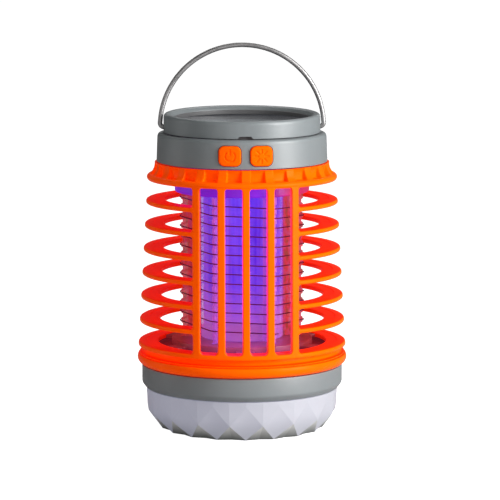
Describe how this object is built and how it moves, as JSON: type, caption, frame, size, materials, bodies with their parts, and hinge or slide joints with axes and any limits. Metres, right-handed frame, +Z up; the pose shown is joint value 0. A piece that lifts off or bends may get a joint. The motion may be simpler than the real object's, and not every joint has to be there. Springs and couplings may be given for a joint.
{
  "type": "electric bug zapper lantern",
  "caption": "Portable insect-killing lantern: ribbed cage round a high-voltage wire grid and violet light, faceted lamp base, solar top, two push keys and a wire bail.",
  "frame": {"origin": "centre of the flat underside, on the floor", "axes": "+Z up along the lantern's axis; the two push keys face -Y; the bail pivots about X"},
  "size_m": [0.0926, 0.0926, 0.1702],
  "materials": {
    "orange_plastic": "glossy moulded",
    "grey_plastic": "fine satin texture",
    "milky_shade": "translucent milky white",
    "circuit_board": "solder mask",
    "led_resin": "clear resin over phosphor",
    "contact_brass": "plain",
    "grid_plastic": "moulded, lit violet in use",
    "bright_steel": "bright drawn",
    "stainless_wire": "fine drawn, lit violet in use",
    "violet_tube": "translucent violet, glowing",
    "black_plastic": "moulded",
    "solar_glass": "dark cells under clear resin",
    "cell_wrap": "shrink sleeve",
    "grey_rubber": "matte"
  },
  "bodies": {
    "base": {"base_ring": "grey_plastic", "base_rim": "orange_plastic", "bug_tray": "grid_plastic", "lamp_shade": "milky_shade", "lamp_board": "circuit_board", "lamp_led_1": "led_resin", "lamp_led_2": "led_resin", "lamp_led_3": "led_resin", "lamp_led_4": "led_resin", "lamp_led_5": "led_resin", "lamp_led_6": "led_resin", "contact_pin_left": "contact_brass", "contact_pin_right": "contact_brass"},
    "lantern": {"cage_crown": "orange_plastic", "cage_foot_ring": "orange_plastic", "cage_front_grille": "orange_plastic", "cage_back_grille": "orange_plastic", "cage_fin_left_1": "orange_plastic", "cage_fin_left_2": "orange_plastic", "cage_fin_left_3": "orange_plastic", "cage_fin_left_4": "orange_plastic", "cage_fin_left_5": "orange_plastic", "cage_fin_left_6": "orange_plastic", "cage_fin_right_1": "orange_plastic", "cage_fin_right_2": "orange_plastic", "cage_fin_right_3": "orange_plastic", "cage_fin_right_4": "orange_plastic", "cage_fin_right_5": "orange_plastic", "cage_fin_right_6": "orange_plastic", "grid_base": "grid_plastic", "grid_ceiling": "grid_plastic", "grid_post_1": "grid_plastic", "grid_post_2": "grid_plastic", "grid_post_3": "grid_plastic", "grid_post_4": "grid_plastic", "grid_post_5": "grid_plastic", "grid_post_6": "grid_plastic", "grid_wire_positive": "stainless_wire", "grid_wire_negative": "stainless_wire", "light_tube": "violet_tube", "uv_led_board": "circuit_board", "uv_board_socket": "black_plastic", "top_housing": "grey_plastic", "bezel": "grey_plastic", "solar_panel": "solar_glass", "battery_cell": "cell_wrap", "control_board": "circuit_board", "step_up_transformer": "black_plastic", "storage_capacitor": "cell_wrap", "switch_board": "circuit_board", "power_switch": "black_plastic", "light_switch": "black_plastic", "usb_socket": "bright_steel"},
    "power_key": {"power_key": "orange_plastic", "power_plunger": "grid_plastic"},
    "light_key": {"light_key": "orange_plastic", "light_plunger": "grid_plastic"},
    "port_cover": {"port_cover": "grey_rubber"},
    "bail": {"bail": "bright_steel"}
  },
  "joints": [
    {"name": "base_twist", "type": "hinge", "parent": "base", "child": "lantern", "pos_m": [0, 0, 0.0365], "axis": [0, 0, 1], "range_deg": [0, 20]},
    {"name": "power_press", "type": "slide", "parent": "lantern", "child": "power_key", "axis": [0, 1, 0], "range_m": [0, 0.0008], "stiffness_N_per_m": 400},
    {"name": "light_press", "type": "slide", "parent": "lantern", "child": "light_key", "axis": [0, 1, 0], "range_m": [0, 0.0008], "stiffness_N_per_m": 400},
    {"name": "cover_swing", "type": "hinge", "parent": "lantern", "child": "port_cover", "pos_m": [0, 0.0384, 0.1256], "axis": [1, 0, 0], "range_deg": [0, 100]},
    {"name": "bail_swing", "type": "hinge", "parent": "lantern", "child": "bail", "pos_m": [0, 0, 0.1332], "axis": [1, 0, 0], "range_deg": [-88, 88]}
  ]
}
